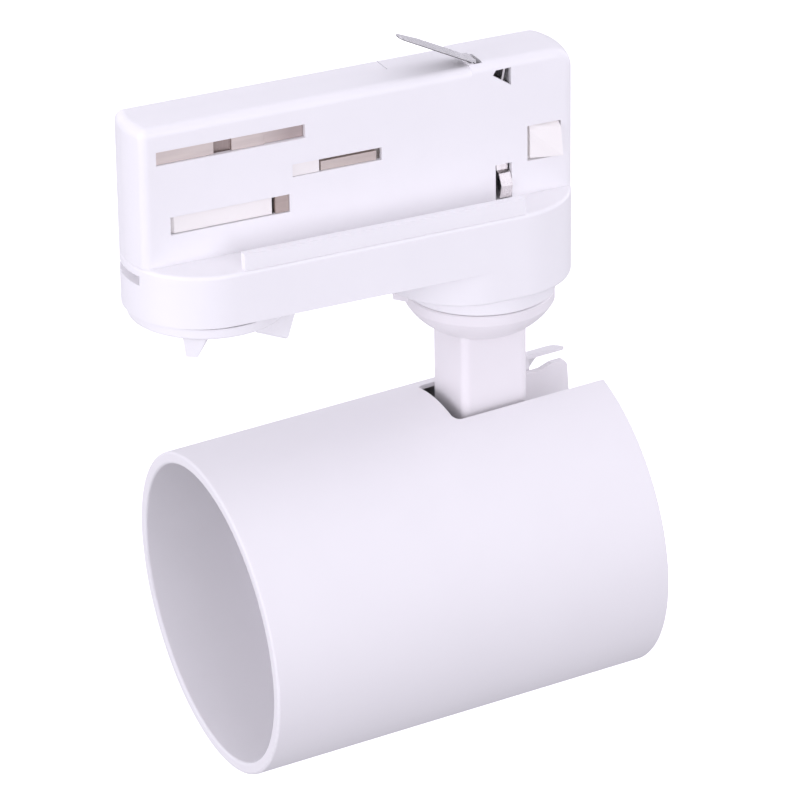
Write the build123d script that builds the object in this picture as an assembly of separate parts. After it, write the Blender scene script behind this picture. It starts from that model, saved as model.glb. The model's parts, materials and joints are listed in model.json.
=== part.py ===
from build123d import *
import os

# Track spotlight: a track adapter, a swivel arm and a round head.
# Millimetres. +Z is up, +X runs along the track towards the swivel, and -Y is the side with the
# contact slots. The origin is the centre of the seat plane, the top of the two track ribs.

# ---- Driving dimensions: adapter base ----
BASE_WIDTH = 36.0
BASE_LEFT_CENTRE_X = -34.0  # centres of the base's two full round ends
BASE_RIGHT_CENTRE_X = 36.6
LEDGE_Z = -3.9              # top face of the base, beside the ribs
LEDGE_ROUND = 0.8
BASE_BOTTOM_Z = -16.2
BASE_WALL = 1.6
CUT = 1.0                   # how far a cut runs past the face it leaves by
OVERLAP = 0.1               # how far joined shapes run into each other
BOSS_BOTTOM_Z = -24.0
BOSS_FLOOR = 2.5
BOSS_LEFT_CENTRE_X = 29.0
RIB_LENGTH = 67.8
RIB_CENTRE_X = 2.5
RIB_THICKNESS = 2.0
RIB_INSET = 0.3
COVER_THICK = 1.5           # the bottom cover
COVER_GAP = 0.1
COVER_SCREWS = [(-8.0, 13.0), (-8.0, -13.0), (5.0, 0.0)]
PILLAR_RADIUS = 3.0
WIRE_OPENINGS = [(-44.0, -14.0), (18.0, 33.5)]      # x from, x to
WIRE_OPENING_HALF = 5.0
STOP_PEG_RADIUS = 1.2
STOP_PEG_HEIGHT = 1.2
STOP_PEG_REACH = 10.6
END_NOTCH = (-5.4, 9.0, -8.2, -6.0)         # y from, y to, z from, z to
END_NOTCH_BACK_X = -48.6
END_NOTCH_WALL = 1.2

# ---- Driving dimensions: in-track housing ----
HOUSING_WIDTH = 15.2
HOUSING_TOP_Z = 28.7
HOUSING_STEP = 0.6          # the swivel end of the top stands this much higher
HOUSING_STEP_X = 28.5
HOUSING_WALL = 1.3
HOUSING_EDGE = 2.2
HOUSING_END_ROUND = 4.8     # rounding of the top at the swivel end
CAVITY_RIGHT_X = 51.0
SEAM_Y = 0.5                # plane where the two half shells meet
NICK_X = 11.5               # a shallow nick across the rear half of the top
NICK = 0.35

# ---- Driving dimensions: slots in the housing ----
UPPER_SLOT = (-47.2, -12.0, 19.9, 23.1)     # x from, x to, z from, z to
MIDDLE_SLOT = (-15.2, 6.3, 11.2, 14.2)
LOCK_SLOT = (-44.3, -16.0, 3.2, 7.4)
NEUTRAL_SLOT = (-46.8, -19.0, 11.2, 14.2)
CLIP_SLOT = (34.1, 38.1, -3.9, 4.5)
LATCH_SLOT = (42.0, 50.3, 4.0, 12.4)
BLADE_SLOT = (29.5, 31.5, -6.4, -1.2)       # x from, x to, y from, y to
PRONG_HOLE = [(33.5, 26.0), (34.3, 27.1), (38.0, 27.2), (38.0, 23.0)]   # x, z corners
POSTS = [(-6.0, 1.4), (30.8, 15.0), (40.2, 23.5)]   # x, z of the screws that join the half shells
POST_RADIUS = 2.2
POST_BORE_END = -5.5
LATCH_WALL_X = 40.6
LATCH_WALL = 1.0
LATCH_WALL_HALF = 0.7
LATCH_WALL_Z = (1.5, 15.0)

# ---- Driving dimensions: small screws ----
SCREW_CORE = 1.0
SCREW_HEAD = 2.4
SCREW_HEAD_DEPTH = 1.1
SCREW_LENGTH = 8.5
HOUSING_SCREW_LENGTH = 12.5
RECESS_DEPTH = 0.7
RECESS_REACH = 1.5
RECESS_WIDTH = 0.45

# ---- Driving dimensions: contacts ----
CARRIER_HALF = 6.0
CARRIER_LEFT = -48.0
CARRIER_RIGHT = 27.0
CARRIER_BOTTOM = 7.8
CARRIER_TOP = 27.0
CARRIER_FOOT = (-17.8, -9.0, 5.5, 1.0)      # x from, x to, half width, z of its underside
CARRIER_HOLLOW_LEFT = 12.0
CARRIER_HOLLOW_HALF = 4.5
CARRIER_HOLLOW_WALL = 2.0
SHELF_POCKETS = [(10.7, 14.7), (19.5, 23.5)]        # z of the pockets where contacts swing
SHELF_WALL_X = -18.0
POCKET_GAP = (-33.5, -29.2)                 # x from, x to of the opening in the upper pocket's front
POCKET_FRONT = 0.8          # thickness of that front
MIDDLE_WALL = 6.5           # the slot's blank length before the middle contact
MIDDLE_WALL_Y = -7.3
MIDDLE_RECESS_Y = -4.2
CONTACT_MARGIN = 0.3
WINDOW_GAP = 0.1            # between a contact and the edge of the slot that it fills
STRIP_THICKNESS = 0.5
PHASE_STRIPS = [(-47.5, -40.0), (-38.0, -30.0), (-28.0, -19.0)]     # x from, x to
PHASE_STRIP_Y = 5.2
PHASE_BARS = [(-47.1, -33.5, -7.0), (-29.2, -21.5, -6.9), (-21.3, -12.1, -6.5)]    # x, x, y of face
NEUTRAL_BAR = (-8.2, 5.2, -7.0, 13.4)       # x from, x to, y of its face, z of its top
NEUTRAL_PAD = (-19.3, -16.1, -7.2, -6.3)    # x from, x to, y of its face and of its back
CLIP_BENDS = [(-5.4, 5.4), (-5.8, 2.3), (-7.0, 1.9), (-8.3, -0.5), (-7.4, -3.5)]    # y, z
CLIP_X = (35.1, 37.9)
PRONG_OUTLINE = [(35.9, 4.6), (36.4, 4.6), (36.4, 22.5), (37.3, 26.8), (36.8, 26.8),
                 (35.9, 22.5)]              # x, z
PRONG_Y = (-6.2, -5.5)
BLADE_THICKNESS = 0.45
BLADE_BENDS = [(29.9, 27.8), (29.9, 29.65), (28.9, 29.65), (11.7, 38.3)]     # x, z
BLADE_PLAN = [(31.0, -6.2), (31.0, -1.4), (29.3, -1.4), (26.5, -0.6), (18.5, -0.7), (11.9, -3.2),
              (11.9, -6.2)]
BLADE_TIP_ROUND = 1.2

# ---- Driving dimensions: spring latches ----
LATCH_SIDE_GAP = 0.65
LATCH_END_GAP = 0.35
LATCH_TOP_GAP = 0.15
LATCH_RISE = 2.0            # how far the proud corner stands out
LATCH_TOP_RISE = 0.8
LATCH_BEVEL = 1.2           # height of the sloped top facet
LATCH_SHELF = 0.7           # how far behind the housing's face that facet ends
LATCH_BACK_Y = -5.1
LATCH_FLANGE = 0.8
SPRING_WIRE = 0.25
SPRING_RADIUS = 1.9
SPRING_TURNS = 4

# ---- Driving dimensions: lock lever and phase dial ----
LOCK_X = -33.0
KNOB_RADIUS = 17.8
KNOB_BOTTOM_Z = -19.05
KNOB_GAP = 0.4
KNOB_HUB = 7.0
KNOB_ROUND = 0.6
DIAL_RADIUS = 8.0
DIAL_POCKET = 1.4
DIAL_GAP = 0.3
DIAL_PROUD = 0.15
LEVER_REACH = (10.2, 19.9)
LEVER_ANGLE = -25.0
LEVER_TOP_SIDES = (-5.0, 5.0)
LEVER_BOTTOM_SIDES = (-3.8, 3.8)
LEVER_SLOPES = (0.3, 2.4)   # how far the inner and outer ends draw in at the bottom
LEVER_BOTTOM_Z = -25.9
LEVER_LIFT = 1.9            # the underside is this much higher at its inner end
LEVER_ROUND = 1.2
FIN_REACH = (1.0, 14.95)
FIN_ANGLE = 233.0
FIN_TOP_SIDES = (-2.1, 3.6)
FIN_BOTTOM_SIDES = (-1.75, 0.95)
FIN_SLOPES = (1.0, 1.0)
FIN_BOTTOM_Z = -25.0
FIN_LIFT = 0.0
SPINDLE_RADIUS = 4.0
SPINDLE_BORE = 2.0
SPINDLE_GAP = 2.2           # the lock spindle ends this far below the upper pocket
SPINDLE_BORE_GAP = 0.2      # clearance over the end of the lock spindle
DIAL_SPINDLE_DROP = 0.5     # the dial spindle ends this far below the carrier's top
DIAL_SPINDLE_RADIUS = 1.93
LOCK_PLATE_RADII = (12.6, 14.7)             # the lobe over the round end, and the other
LOCK_PLATE_HALF_WIDTH = 7.2
LOCK_PLATE_GAP = 0.2
NEUTRAL_REACH = 12.8
NEUTRAL_HALF = 2.2
NEUTRAL_HUB = 5.2
PHASE_REACH = 5.0           # the phase contact stays inside the housing
PHASE_HALF = 1.5
PHASE_HUB = 4.2
NEUTRAL_ARM_Z = (11.4, 14.0)
PHASE_ARM_Z = (20.2, 22.8)

# ---- Driving dimensions: swivel arm ----
SWIVEL_X = 33.65
RING_RADIUS = 17.2
RING_BOTTOM_Z = -27.4
RING_EDGE = 0.3
BOWL_TOP_Z = -27.7
BOWL_RADIUS = 17.0
BOWL_BAND_Z = -30.1         # the upright band ends here and the bowl curves in
BOWL_BOTTOM_Z = -35.9
BOWL_BOTTOM_RADIUS = 11.0
BOWL_BULGE = 0.6            # how far the curve stands out from a straight cone
BOWL_EDGE = 0.3
LUG_ANGLE = 158.0           # the small lug on the bowl's rim
LUG_REACH = 19.8
LUG_THICKNESS = 1.5
LUG_ROOT = 0.5              # depth of the lug's root in the rim
LUG_ROOT_ANGLE = 16.0       # half the angle that the lug spans at its root
LUG_TIP_ANGLE = 7.0
HUB_RADIUS = 9.0
HUB_DROP = 0.1              # the hub ends this far below the boss
RUNNING_GAP = 0.05
STEM_WIDTH = 16.4
STEM_EDGE = 1.8
PIVOT_Z = -69.4
NIPPLE_RADIUS = 5.0
NIPPLE_BORE = 3.4
NIPPLE_END = 1.0            # length that shows past the nut
WASHER_THICKNESS = 1.0
WASHER_GAP = 0.4            # between the stop washer and the peg
WASHER_TAB_HALF = 1.5
WASHER_TAB_END = 1.0        # how far the tab reaches past the peg's middle
NUT_FLATS = 14.0
NUT_THICKNESS = 4.0
WIRE_BORE = 3.0
WIRE_EXIT = 8.0             # height of the wire's side exit above the pivot
TENON = 6.5
TENON_HEIGHT = 4.5

# ---- Driving dimensions: head, drawn from the pivot with the tube along X ----
HEAD_TILT = 3.6             # degrees that the mouth hangs below level at rest
TUBE_RADIUS = 37.8
MOUTH_BORE = 35.0           # the tube is thick at the mouth and thin behind it
REAR_BORE = 36.8
REAR_BORE_X = -38.5
TUBE_FRONT = -70.2
TUBE_REAR = 27.5
TUBE_AXIS_DROP = 21.0       # the tube's axis lies this far below the pivot
AXIS_Z = -TUBE_AXIS_DROP
MOUTH_ROUND = 0.6
REAR_ROUND = 0.4
STEM_SLOT_HALF = 10.1
STEM_SLOT_FRONT = -10.3
STEM_SLOT_CORNER = 2.0
COVER_SEAT = 16.5           # front face of the rear cover
COVER_THICKNESS = 2.0
COVER_FIT = 0.1
CHEEK_INNER = 8.55
CHEEK_THICKNESS = 1.5
CHEEK_OUTER = CHEEK_INNER + CHEEK_THICKNESS
CHEEK_TOP = 11.7
CHEEK_HUMP = (20.5, 23.5, 1.0)              # x where the rear hump starts and is full, its rise
CHEEK_BOTTOM = -9.8
CHEEK_FRONT = -11.0
CHEEK_REAR = 27.4
CHEEK_ROUND = 1.6
WEB_Z = (-4.0, 9.0)
FLANGE_REACH = 20.0
FLANGE_TOP = 6.0
NOTCH_GAP = 0.25
VENT_ROWS = 5
VENT = (15.0, 2.0)          # length and height of a vent
VENT_Y = 12.5
VENT_TOP = -4.0             # the first row, below the tube's axis
VENT_PITCH = 4.5
REAR_SCREWS = [(-15.5, -2.0), (15.5, -2.0)]         # y, z of the screws into the bracket
REAR_SCREW_LENGTH = 6.5
REAR_HEAD_DEPTH = 1.4
BOLT_RADIUS = 2.5
BOLT_HEAD_RADIUS = 4.4
BOLT_HEAD_DEPTH = 2.6
BOLT_HEAD_ROUND = 1.0
BOLT_END = 1.0              # length that shows past the nut
BOLT_SOCKET = (1.5, 2.0)    # half the width across the flats, and the depth
PIVOT_NUT = (4.0, 4.0)      # half the width across the flats, and the thickness
WASHER_RADIUS = 6.0
BAFFLE_X = -44.0
BAFFLE_DEPTH = 5.0
BAFFLE_WALL = 1.5
BAFFLE_GAP = 0.3            # between the baffle and the lamp
LAMP_FRONT = -43.5
LAMP_RADIUS = 25.0
LAMP_NECK = 10.5
LAMP_REAR = 2.5
LAMP_OUTLINE = [(-38.5, 24.2), (-30.0, 20.5), (-20.0, 14.2), (-12.5, 11.2)]     # x, radius
LAMP_NECK_X = -9.0
LENS_POCKET = 3.0
LENS_RECESS = 0.6
LENS_EDGE = 1.2
PIN_SPACING = 10.0
PIN_RADIUS = 2.4
PIN_SHANK = 1.6
PIN_FOOT = 2.0
PIN_LENGTH = 7.0
PIN_END_GAP = 1.0           # depth of the holder's pockets beyond the pins
CLIP_WIRE = 0.5
CLIP_GAP = (0.1, 0.05)      # between the ring and the lamp's edge, outwards and behind
FRAME_HALF = 28.0
FRAME_THICKNESS = 1.2
FRAME_WIDTH = 10.0
FRAME_REAR = 13.6
FRAME_FOOT = 4.5
HOLDER_GAP = 0.1
HOLDER_RADIUS = 11.3
HOLDER_EDGE = 0.8


def slab(x0, x1, y0, y1, z0, z1):
    """A box between two corners."""
    return Pos((x0 + x1) / 2, (y0 + y1) / 2, (z0 + z1) / 2) * Box(x1 - x0, y1 - y0, z1 - z0)


def rod_x(y, z, x0, x1, radius):
    return Pos((x0 + x1) / 2, y, z) * Rot(0, 90, 0) * Cylinder(radius, x1 - x0)


def rod_y(x, z, y0, y1, radius):
    return Pos(x, (y0 + y1) / 2, z) * Rot(90, 0, 0) * Cylinder(radius, y1 - y0)


def rod_z(x, y, z0, z1, radius):
    return Pos(x, y, (z0 + z1) / 2) * Cylinder(radius, z1 - z0)


def raise_plan(plan, z0, z1):
    """Extrude a plan outline from one height to another."""
    return Pos(0, 0, z0) * extrude(plan, amount=z1 - z0)


def stadium(left_x, right_x, inset):
    """A plan with full round ends about two centres; inset shrinks it all round."""
    radius = BASE_WIDTH / 2 - inset
    middle = Pos((left_x + right_x) / 2, 0) * Rectangle(right_x - left_x, 2 * radius)
    return Pos(left_x, 0) * Circle(radius) + middle + Pos(right_x, 0) * Circle(radius)


def base_plan(inset=0.0):
    return stadium(BASE_LEFT_CENTRE_X, BASE_RIGHT_CENTRE_X, inset)


def boss_plan(inset=0.0):
    return stadium(BOSS_LEFT_CENTRE_X, BASE_RIGHT_CENTRE_X, inset)


def top_edges(solid):
    return solid.faces().sort_by(Axis.Z)[-1].edges()


def bottom_edges(solid):
    return solid.faces().sort_by(Axis.Z)[0].edges()


# ---- Adapter base ----


def base_shell():
    """The base: ledge, side wall, swivel boss and the two ribs that meet the track."""
    outer = raise_plan(base_plan(), BASE_BOTTOM_Z, LEDGE_Z)
    outer = fillet(top_edges(outer), LEDGE_ROUND)
    boss = raise_plan(boss_plan(), BOSS_BOTTOM_Z, LEDGE_Z - 2 * LEDGE_ROUND)
    boss = fillet(bottom_edges(boss), LEDGE_ROUND)
    ceiling = LEDGE_Z - BASE_WALL
    floor = BOSS_BOTTOM_Z + BOSS_FLOOR
    shell = outer + boss
    shell -= raise_plan(base_plan(BASE_WALL), BASE_BOTTOM_Z, ceiling)
    shell -= raise_plan(boss_plan(BASE_WALL), floor, ceiling)
    shell += raise_plan(boss_plan() - boss_plan(BASE_WALL), floor, BASE_BOTTOM_Z)
    for x0, x1 in WIRE_OPENINGS:
        shell -= slab(x0, x1, -WIRE_OPENING_HALF, WIRE_OPENING_HALF, ceiling - CUT, LEDGE_Z + CUT)
    for x, y in COVER_SCREWS:
        top = BASE_BOTTOM_Z + COVER_THICK
        shell += rod_z(x, y, top, ceiling, PILLAR_RADIUS)
        shell -= rod_z(x, y, top - CUT, ceiling - CUT, SCREW_CORE)
    shell -= rod_z(SWIVEL_X, 0, BOSS_BOTTOM_Z - CUT, floor + CUT, NIPPLE_RADIUS + RUNNING_GAP)
    shell += rod_z(SWIVEL_X, STOP_PEG_REACH, floor, floor + STOP_PEG_HEIGHT, STOP_PEG_RADIUS)
    shell = end_notch(shell)
    outside = BASE_WIDTH / 2 - RIB_INSET
    for side in (-1, 1):
        middle = side * (outside - RIB_THICKNESS / 2)
        shell += Pos(RIB_CENTRE_X, middle, LEDGE_Z / 2) * Box(RIB_LENGTH, RIB_THICKNESS, -LEDGE_Z)
    return shell


def end_notch(shell):
    """Add the blind finger notch in the round end, with a wall behind it."""
    y0, y1, z0, z1 = END_NOTCH
    wall = END_NOTCH_WALL
    backing = slab(END_NOTCH_BACK_X - 2, END_NOTCH_BACK_X + wall, y0 - wall, y1 + wall,
                   z0 - wall, z1 + wall)
    backing &= raise_plan(base_plan(BASE_WALL / 2), BASE_BOTTOM_Z, LEDGE_Z)
    left_end = BASE_LEFT_CENTRE_X - BASE_WIDTH / 2
    return shell + backing - slab(left_end - CUT, END_NOTCH_BACK_X, y0, y1, z0, z1)


def bottom_cover():
    """The plate that closes the base between the round end and the boss."""
    top = BASE_BOTTOM_Z + COVER_THICK
    cover = raise_plan(base_plan(BASE_WALL + COVER_GAP), BASE_BOTTOM_Z, top)
    cover -= raise_plan(boss_plan(-COVER_GAP), BASE_BOTTOM_Z - CUT, top + CUT)
    cover -= rod_z(LOCK_X, 0, BASE_BOTTOM_Z - CUT, top + CUT, KNOB_HUB + RUNNING_GAP)
    for x, y in COVER_SCREWS:
        cover -= rod_z(x, y, BASE_BOTTOM_Z - CUT, top + CUT, SCREW_CORE)
        cover -= rod_z(x, y, BASE_BOTTOM_Z, BASE_BOTTOM_Z + SCREW_HEAD_DEPTH, SCREW_HEAD)
    return cover


# ---- Small screws ----


def screw(head_radius, head_depth, length):
    """A pan-head screw that points up from z = 0, with a cross recess in its head."""
    head = rod_z(0, 0, 0, head_depth, head_radius)
    bar = slab(-RECESS_REACH, RECESS_REACH, -RECESS_WIDTH / 2, RECESS_WIDTH / 2, -CUT, RECESS_DEPTH)
    head -= bar + Rot(0, 0, 90) * bar
    return head + rod_z(0, 0, head_depth, length, SCREW_CORE)


def cover_screws():
    """The screws that hold the bottom cover to the base's pillars."""
    screws = Part()
    for x, y in COVER_SCREWS:
        screws += Pos(x, y, BASE_BOTTOM_Z) * screw(SCREW_HEAD, SCREW_HEAD_DEPTH, SCREW_LENGTH)
    return screws


def housing_screws():
    """The screws that join the two half shells."""
    screws = Part()
    one = screw(SCREW_HEAD - RUNNING_GAP, SCREW_HEAD_DEPTH, HOUSING_SCREW_LENGTH)
    for x, z in POSTS:
        screws += Pos(x, HOUSING_WIDTH / 2, z) * Rot(90, 0, 0) * one
    return screws


def rear_screws():
    """The two screws that hold the rear cover to the tilt bracket."""
    screws = Part()
    back = COVER_SEAT + COVER_THICKNESS + REAR_HEAD_DEPTH
    for y, z in REAR_SCREWS:
        one = screw(SCREW_HEAD, REAR_HEAD_DEPTH, REAR_SCREW_LENGTH)
        screws += Pos(back, y, z) * Rot(0, -90, 0) * one
    return tilted(screws)


# ---- In-track housing ----


def housing_plan(inset=0.0):
    length = 2 * (BASE_RIGHT_CENTRE_X - BASE_LEFT_CENTRE_X + BASE_WIDTH)
    return base_plan(inset) & Rectangle(length, HOUSING_WIDTH - 2 * inset)


def swivel_end(top):
    """The housing's end over the swivel: turned about an upright axis, with a soft top edge."""
    radius = BASE_WIDTH / 2
    soft = HOUSING_END_ROUND
    outline = [
        Line((0, LEDGE_Z), (radius, LEDGE_Z)),
        Line((radius, LEDGE_Z), (radius, top - soft)),
        RadiusArc((radius, top - soft), (radius - soft, top), -soft),
        Line((radius - soft, top), (0, top)),
        Line((0, top), (0, LEDGE_Z)),
    ]
    turned = revolve(Plane.XZ * make_face(Curve() + outline), Axis.Z)
    half = HOUSING_WIDTH / 2
    return Pos(BASE_RIGHT_CENTRE_X, 0, 0) * (turned & slab(0, radius, -half, half, LEDGE_Z, top))


def rounded_housing(top):
    """The outside of the housing up to one height, with its long edges rounded."""
    block = raise_plan(housing_plan(), LEDGE_Z, top)
    far = BASE_WIDTH * 2
    block &= slab(-far, BASE_RIGHT_CENTRE_X, -far, far, LEDGE_Z, top)
    block += swivel_end(top)
    faces = block.faces().filter_by(Axis.Y)
    edges = faces.sort_by(Axis.Y)[0].edges() + faces.sort_by(Axis.Y)[-1].edges()
    edges = edges.filter_by(lambda edge: edge.center().Z > LEDGE_Z + OVERLAP)
    left_top = top_edges(block).sort_by(Axis.X)[0]
    return fillet(edges + [left_top], HOUSING_EDGE)


def slot_cut(slot, y0, y1):
    x0, x1, z0, z1 = slot
    return slab(x0, x1, y0, y1, z0, z1)


def whole_housing():
    """Both half shells as one hollow body, before they are parted at the seam."""
    far = 3 * BASE_WIDTH
    low = rounded_housing(HOUSING_TOP_Z) & slab(-far, HOUSING_STEP_X, -far, far, -far, far)
    high = rounded_housing(HOUSING_TOP_Z + HOUSING_STEP)
    high &= slab(HOUSING_STEP_X, far, -far, far, -far, far)
    shell = low + high
    ceiling = HOUSING_TOP_Z - HOUSING_WALL
    cavity = raise_plan(housing_plan(HOUSING_WALL), LEDGE_Z - CUT, ceiling)
    shell -= cavity & slab(-far, CAVITY_RIGHT_X, -far, far, -far, far)
    half = HOUSING_WIDTH / 2
    inner = half - HOUSING_WALL
    for x, z in POSTS:
        shell += rod_y(x, z, -inner, inner, POST_RADIUS)
    z0, z1 = LATCH_WALL_Z
    spring_wall = LATCH_WALL_HALF + 2 * SEAM_Y
    shell += slab(LATCH_WALL_X, LATCH_WALL_X + LATCH_WALL, -inner, inner, z0, z1)
    shell += slab(LATCH_WALL_X, CAVITY_RIGHT_X + OVERLAP, -LATCH_WALL_HALF, spring_wall, z0, z1)
    shell -= slot_cut(LOCK_SLOT, -half - CUT, half + CUT)
    for slot in (UPPER_SLOT, MIDDLE_SLOT, CLIP_SLOT, LATCH_SLOT):
        shell -= slot_cut(slot, -half - CUT, -inner + OVERLAP)
    for slot in (NEUTRAL_SLOT, LATCH_SLOT):
        shell -= slot_cut(slot, inner - OVERLAP, half + CUT)
    x0, x1, y0, y1 = BLADE_SLOT
    shell -= slab(x0, x1, y0, y1, ceiling - CUT, HOUSING_TOP_Z + 2 * CUT)
    hole = Plane.XZ.offset(inner - OVERLAP) * make_face(Polyline(*PRONG_HOLE, close=True))
    shell -= extrude(hole, amount=HOUSING_WALL + CUT)
    shell -= slab(NICK_X, NICK_X + NICK, SEAM_Y, half + CUT, HOUSING_TOP_Z - NICK, HOUSING_TOP_Z + CUT)
    return shell


def housing_front():
    """The half shell with the contact slots; its posts take the screws' threads."""
    far = 3 * BASE_WIDTH
    shell = whole_housing() & slab(-far, far, -far, SEAM_Y, -far, far)
    for x, z in POSTS:
        shell -= rod_y(x, z, POST_BORE_END, SEAM_Y + CUT, SCREW_CORE)
    return shell


def housing_rear():
    """The half shell on the far side; the screw heads sit in it."""
    far = 3 * BASE_WIDTH
    half = HOUSING_WIDTH / 2
    shell = whole_housing() & slab(-far, far, SEAM_Y, far, -far, far)
    for x, z in POSTS:
        shell -= rod_y(x, z, SEAM_Y - CUT, half + CUT, SCREW_CORE)
        shell -= rod_y(x, z, half - SCREW_HEAD_DEPTH, half + CUT, SCREW_HEAD)
    return shell


# ---- Contacts inside the housing ----


def contact_carrier():
    """The insulating block: three shelves bear the spindles, and two pockets hold contacts."""
    body = slab(CARRIER_LEFT, CARRIER_RIGHT, -CARRIER_HALF, CARRIER_HALF,
                CARRIER_BOTTOM, CARRIER_TOP)
    x0, x1, foot_half, foot_z = CARRIER_FOOT
    body += slab(x0, x1, -foot_half, foot_half, foot_z, CARRIER_BOTTOM)
    front = -CARRIER_HALF - 2 * CUT
    back = CARRIER_HALF + CUT
    for z0, z1 in SHELF_POCKETS:
        body -= slab(CARRIER_LEFT - CUT, SHELF_WALL_X, front, back, z0, z1)
    z0, z1 = SHELF_POCKETS[1]
    for x0, x1 in ((CARRIER_LEFT, POCKET_GAP[0]), (POCKET_GAP[1], SHELF_WALL_X)):
        body += slab(x0, x1, -CARRIER_HALF, POCKET_FRONT - CARRIER_HALF, z0, z1)
    spindle_top = z0 - SPINDLE_GAP + SPINDLE_BORE_GAP
    body -= rod_z(LOCK_X, 0, CARRIER_BOTTOM - CUT, spindle_top, SPINDLE_RADIUS + RUNNING_GAP)
    body -= rod_z(LOCK_X, 0, CARRIER_BOTTOM - CUT, CARRIER_TOP + CUT, SPINDLE_BORE)
    x0, x1, z0, z1 = MIDDLE_SLOT
    body += slab(x0 + WINDOW_GAP, x0 + MIDDLE_WALL, MIDDLE_WALL_Y, -CARRIER_HALF,
                 z0 + WINDOW_GAP, z1 - WINDOW_GAP)
    body -= slab(x0 + MIDDLE_WALL, x1 + CUT, front, MIDDLE_RECESS_Y,
                 z0 - CONTACT_MARGIN, z1 + CONTACT_MARGIN)
    body -= slab(CARRIER_HOLLOW_LEFT, CARRIER_RIGHT + CUT, -CARRIER_HOLLOW_HALF,
                 CARRIER_HOLLOW_HALF, CARRIER_BOTTOM + CARRIER_HOLLOW_WALL,
                 CARRIER_TOP - CARRIER_HOLLOW_WALL)
    return body


def phase_contact_strips():
    """The strips on the back wall of the upper pocket, and the bars that fill the upper slot."""
    z0, z1 = SHELF_POCKETS[1]
    strips = Part()
    for x0, x1 in PHASE_STRIPS:
        strips += slab(x0, x1, PHASE_STRIP_Y, PHASE_STRIP_Y + STRIP_THICKNESS, z0, z1)
    z0, z1 = UPPER_SLOT[2] + WINDOW_GAP, UPPER_SLOT[3] - WINDOW_GAP
    for x0, x1, face in PHASE_BARS:
        strips += slab(x0, x1, face, -CARRIER_HALF, z0, z1)
    return strips


def neutral_contact_strip():
    """The bar low in the middle slot, and the pad at the right end of the lock slot."""
    x0, x1, face, top = NEUTRAL_BAR
    bar = slab(x0, x1, face, MIDDLE_RECESS_Y, MIDDLE_SLOT[2] + WINDOW_GAP, top)
    x0, x1, face, back = NEUTRAL_PAD
    z0, z1 = LOCK_SLOT[2] + WINDOW_GAP, LOCK_SLOT[3] - WINDOW_GAP
    foot_x, _, foot_half, _ = CARRIER_FOOT
    return bar + slab(x0, x1, face, back, z0, z1) + slab(foot_x, x1, back, -foot_half, z0, z1)


def earth_side_clip():
    """Spring steel clip that looks out of the lower window, with a prong up to the top hole."""
    x0, x1 = CLIP_X
    profile = trace(Polyline(*CLIP_BENDS), line_width=STRIP_THICKNESS)
    clip = extrude(Plane.YZ.offset(x0) * profile, amount=x1 - x0)
    y0, y1 = PRONG_Y
    prong = Plane.XZ.offset(-y1) * make_face(Polyline(*PRONG_OUTLINE, close=True))
    return clip + extrude(prong, amount=y1 - y0)


def earth_blade():
    """The leaf-shaped earth spring that leaves the top's slot and rises along the track."""
    profile = trace(Polyline(*BLADE_BENDS), line_width=BLADE_THICKNESS)
    reach = HOUSING_WIDTH
    strip = extrude(Plane.XZ * profile, amount=reach, both=True)
    plan = make_face(Polyline(*BLADE_PLAN, close=True))
    tip = plan.vertices().sort_by(Axis.X)[:2]
    return strip & raise_plan(fillet(tip, BLADE_TIP_ROUND), 0, 2 * HOUSING_TOP_Z)


# ---- Spring latches ----


def latch(side):
    """A faceted tab: one corner stands proud, and a flange keeps it inside the housing."""
    x0, x1, z0, z1 = LATCH_SLOT
    x0, x1 = x0 + LATCH_SIDE_GAP, x1 - LATCH_END_GAP
    z0, z1 = z0 + LATCH_SIDE_GAP, z1 - LATCH_TOP_GAP
    face = -HOUSING_WIDTH / 2
    bevel_z = z1 - LATCH_BEVEL
    shelf = face + LATCH_SHELF
    back = [(x0, LATCH_BACK_Y, z0), (x1, LATCH_BACK_Y, z0), (x1, LATCH_BACK_Y, z1),
            (x0, LATCH_BACK_Y, z1)]
    top = [(x1, shelf, z1), (x0, shelf, z1)]
    front = [(x0, face, z0), (x1, face - LATCH_RISE, z0), (x1, face - LATCH_TOP_RISE, bevel_z),
             (x0, face, bevel_z)]
    rings = [
        back,
        [back[0], back[1], front[1], front[0]],
        [back[1], back[2], top[0], front[2], front[1]],
        [back[2], back[3], top[1], top[0]],
        [back[3], back[0], front[0], front[3], top[1]],
        [top[0], top[1], front[2]],
        [top[1], front[3], front[2]],
        [front[0], front[1], front[3]],
        [front[1], front[2], front[3]],
    ]
    tab = Solid(Shell([Face(Wire.make_polygon(ring)) for ring in rings]))
    hidden = face + HOUSING_WALL + RUNNING_GAP
    flange = slab(x0 - LATCH_FLANGE, LATCH_SLOT[1], hidden, LATCH_BACK_Y,
                  z0 - LATCH_SIDE_GAP - LATCH_FLANGE, z1 + LATCH_FLANGE)
    whole = Part() + tab + flange
    return whole if side < 0 else mirror(whole, about=Plane.XZ)


def latch_front():
    return latch(-1)


def latch_rear():
    return latch(1)


def latch_spring(side):
    """A small coil spring between the latch and the wall in the middle of the housing."""
    seat = -LATCH_WALL_HALF if side < 0 else LATCH_WALL_HALF + 2 * SEAM_Y
    start = side * -LATCH_BACK_Y
    rise = abs(start - seat) - 2 * SPRING_WIRE
    coil = Helix(pitch=rise / SPRING_TURNS, height=rise, radius=SPRING_RADIUS)
    path = Pos(0, 0, SPRING_WIRE) * coil
    spring = sweep(Plane(path @ 0, z_dir=path % 0) * Circle(SPRING_WIRE), path, is_frenet=True)
    x0, x1, z0, z1 = LATCH_SLOT
    return Pos((x0 + x1) / 2, min(start, seat), (z0 + z1) / 2) * Rot(-90, 0, 0) * spring


def latch_spring_front():
    return latch_spring(-1)


def latch_spring_rear():
    return latch_spring(1)


# ---- Lock lever and phase dial ----


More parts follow.
